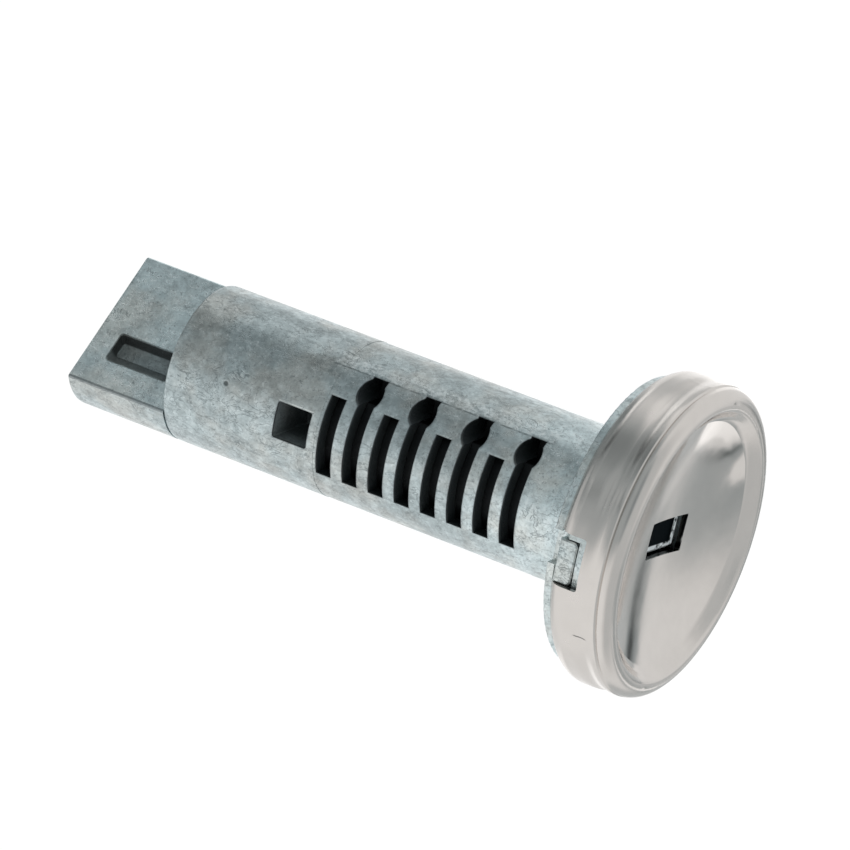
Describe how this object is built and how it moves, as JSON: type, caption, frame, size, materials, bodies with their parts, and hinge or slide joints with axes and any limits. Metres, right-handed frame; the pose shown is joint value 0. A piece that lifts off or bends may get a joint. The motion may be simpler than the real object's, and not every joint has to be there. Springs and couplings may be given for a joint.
{
  "type": "ignition lock cylinder",
  "caption": "Key-turned lock plug with tumbler windows along a round barrel, a flatted drive tail and a dished, drawn steel face cap with a key slot.",
  "frame": {"origin": "on the barrel's axis, in the back face of the flange that seats on the lock housing", "axes": "+X runs along the barrel's axis from the tail to the face cap; +Z is square to the flat of the drive tail; the tumblers slide 41.8 degrees from +Z towards -Y"},
  "size_m": [0.0568, 0.0272, 0.0272],
  "materials": {
    "zinc_casting": "satin",
    "stainless_cap": "polished",
    "dark_steel": "polished",
    "tumbler_steel": "satin",
    "spring_steel": "satin"
  },
  "bodies": {
    "plug": {"plug_body": "zinc_casting", "face_cap": "stainless_cap", "shutter_pin": "dark_steel", "shutter_spring": "spring_steel", "tumbler_spring_1": "spring_steel", "tumbler_spring_2": "spring_steel", "tumbler_spring_3": "spring_steel", "tumbler_spring_4": "spring_steel", "tumbler_spring_5": "spring_steel", "tumbler_spring_6": "spring_steel", "tumbler_spring_7": "spring_steel", "tumbler_spring_8": "spring_steel"},
    "shutter": {"dust_shutter": "dark_steel"},
    "slider": {"warning_slider": "zinc_casting"},
    "tumbler_1": {"tumbler_1": "tumbler_steel"},
    "tumbler_2": {"tumbler_2": "tumbler_steel"},
    "tumbler_3": {"tumbler_3": "tumbler_steel"},
    "tumbler_4": {"tumbler_4": "tumbler_steel"},
    "tumbler_5": {"tumbler_5": "tumbler_steel"},
    "tumbler_6": {"tumbler_6": "tumbler_steel"},
    "tumbler_7": {"tumbler_7": "tumbler_steel"},
    "tumbler_8": {"tumbler_8": "tumbler_steel"}
  },
  "joints": [
    {"name": "shutter_swing", "type": "hinge", "parent": "plug", "child": "shutter", "pos_m": [0.00241, -0.0019, -0.0017], "axis": [0, -0.6665, 0.7455], "range_deg": [0, 85], "stiffness_Nm_per_rad": 0.0003, "springref_deg": -22.92, "deforming": ["shutter_spring"]},
    {"name": "slider_slide", "type": "slide", "parent": "plug", "child": "slider", "axis": [0, -0.6665, 0.7455], "range_m": [0, 0.0008]},
    {"name": "tumbler_1_slide", "type": "slide", "parent": "plug", "child": "tumbler_1", "axis": [0, -0.6665, 0.7455], "range_m": [-0.0012, 0.0012], "stiffness_N_per_m": 60, "deforming": ["tumbler_spring_1"]},
    {"name": "tumbler_2_slide", "type": "slide", "parent": "plug", "child": "tumbler_2", "axis": [0, -0.6665, 0.7455], "range_m": [-0.0012, 0.0012], "stiffness_N_per_m": 60, "deforming": ["tumbler_spring_2"]},
    {"name": "tumbler_3_slide", "type": "slide", "parent": "plug", "child": "tumbler_3", "axis": [0, -0.6665, 0.7455], "range_m": [-0.0012, 0.0012], "stiffness_N_per_m": 60, "deforming": ["tumbler_spring_3"]},
    {"name": "tumbler_4_slide", "type": "slide", "parent": "plug", "child": "tumbler_4", "axis": [0, -0.6665, 0.7455], "range_m": [-0.0012, 0.0012], "stiffness_N_per_m": 60, "deforming": ["tumbler_spring_4"]},
    {"name": "tumbler_5_slide", "type": "slide", "parent": "plug", "child": "tumbler_5", "axis": [0, -0.6665, 0.7455], "range_m": [-0.0012, 0.0012], "stiffness_N_per_m": 60, "deforming": ["tumbler_spring_5"]},
    {"name": "tumbler_6_slide", "type": "slide", "parent": "plug", "child": "tumbler_6", "axis": [0, -0.6665, 0.7455], "range_m": [-0.0012, 0.0012], "stiffness_N_per_m": 60, "deforming": ["tumbler_spring_6"]},
    {"name": "tumbler_7_slide", "type": "slide", "parent": "plug", "child": "tumbler_7", "axis": [0, -0.6665, 0.7455], "range_m": [-0.0012, 0.0012], "stiffness_N_per_m": 60, "deforming": ["tumbler_spring_7"]},
    {"name": "tumbler_8_slide", "type": "slide", "parent": "plug", "child": "tumbler_8", "axis": [0, -0.6665, 0.7455], "range_m": [-0.0012, 0.0012], "stiffness_N_per_m": 60, "deforming": ["tumbler_spring_8"]}
  ]
}
